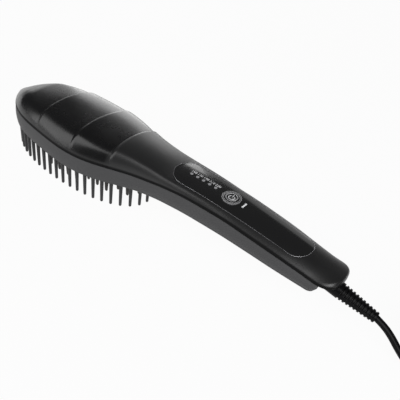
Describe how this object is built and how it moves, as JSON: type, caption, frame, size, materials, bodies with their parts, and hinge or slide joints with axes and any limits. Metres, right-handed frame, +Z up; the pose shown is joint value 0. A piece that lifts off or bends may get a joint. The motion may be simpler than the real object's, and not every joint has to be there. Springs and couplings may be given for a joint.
{
  "type": "hair straightening brush",
  "caption": "Mains hair straightening brush: domed head with stepped back, heated teeth ringed by plastic pins, slim handle with a control panel and push button, coiled lead and two-pin plug.",
  "frame": {"origin": "under the middle of the body, on the plane of the pin tips", "axes": "+X from the head's tip to the handle's end, +Z up from the pins to the back of the head"},
  "size_m": [0.435, 0.1077, 0.0495],
  "materials": {
    "shell_gloss": "moulded, smooth satin gloss",
    "shell_matte": "moulded, fine spark texture",
    "panel_gloss": "polished insert",
    "ring_trim": "satin ring",
    "button_gloss": "polished, white printed symbol",
    "lens_clear": "translucent light guide",
    "lens_white": "translucent white light guide",
    "board_laminate": "glass-filled laminate",
    "screw_steel": "zinc plated",
    "clamp_steel": "spring strip",
    "led_body": "moulded lamp body",
    "switch_plastic": "moulded",
    "capacitor_case": "moulded case",
    "fuse_glass": "small ceramic body",
    "fuse_can": "plain can",
    "comb_plastic": "heat-proof moulding",
    "coated_aluminium": "dark ceramic coating",
    "heater_ceramic": "plain strip",
    "lead_sleeve": "silicone sleeve",
    "cord_rubber": "matte jacket",
    "tie_plastic": "flat strap",
    "plug_plastic": "moulded on",
    "pin_brass": "nickel plated"
  },
  "bodies": {
    "brush": {"upper_shell": "shell_gloss", "lower_shell": "shell_matte", "shell_screws": "screw_steel", "control_panel": "panel_gloss", "button_ring": "ring_trim", "indicator_lenses": "lens_clear", "power_lamp_lens": "lens_white", "circuit_board": "board_laminate", "board_screws": "screw_steel", "indicator_leds": "led_body", "power_lamp_led": "led_body", "tact_switch": "switch_plastic", "film_capacitor": "capacitor_case", "triac": "switch_plastic", "line_fuse": "fuse_glass", "comb_frame": "comb_plastic", "edge_bristles": "comb_plastic", "heater_plate": "coated_aluminium", "heated_teeth": "coated_aluminium", "heating_element": "heater_ceramic", "element_clamp": "clamp_steel", "clamp_screws": "screw_steel", "thermal_fuse": "fuse_can", "thermistor": "fuse_glass", "heater_leads": "lead_sleeve", "sensor_leads": "lead_sleeve", "mains_leads": "lead_sleeve", "strain_relief": "cord_rubber", "power_cord": "cord_rubber", "cord_coil": "cord_rubber", "cord_tail": "cord_rubber", "cord_tie": "tie_plastic", "plug_body": "plug_plastic", "plug_pins": "pin_brass"},
    "button": {"power_button": "button_gloss", "switch_plunger": "switch_plastic"}
  },
  "joints": [
    {"name": "button_press", "type": "slide", "parent": "brush", "child": "button", "axis": [0, 0, -1], "range_m": [0, 0.0005], "stiffness_N_per_m": 1500}
  ]
}
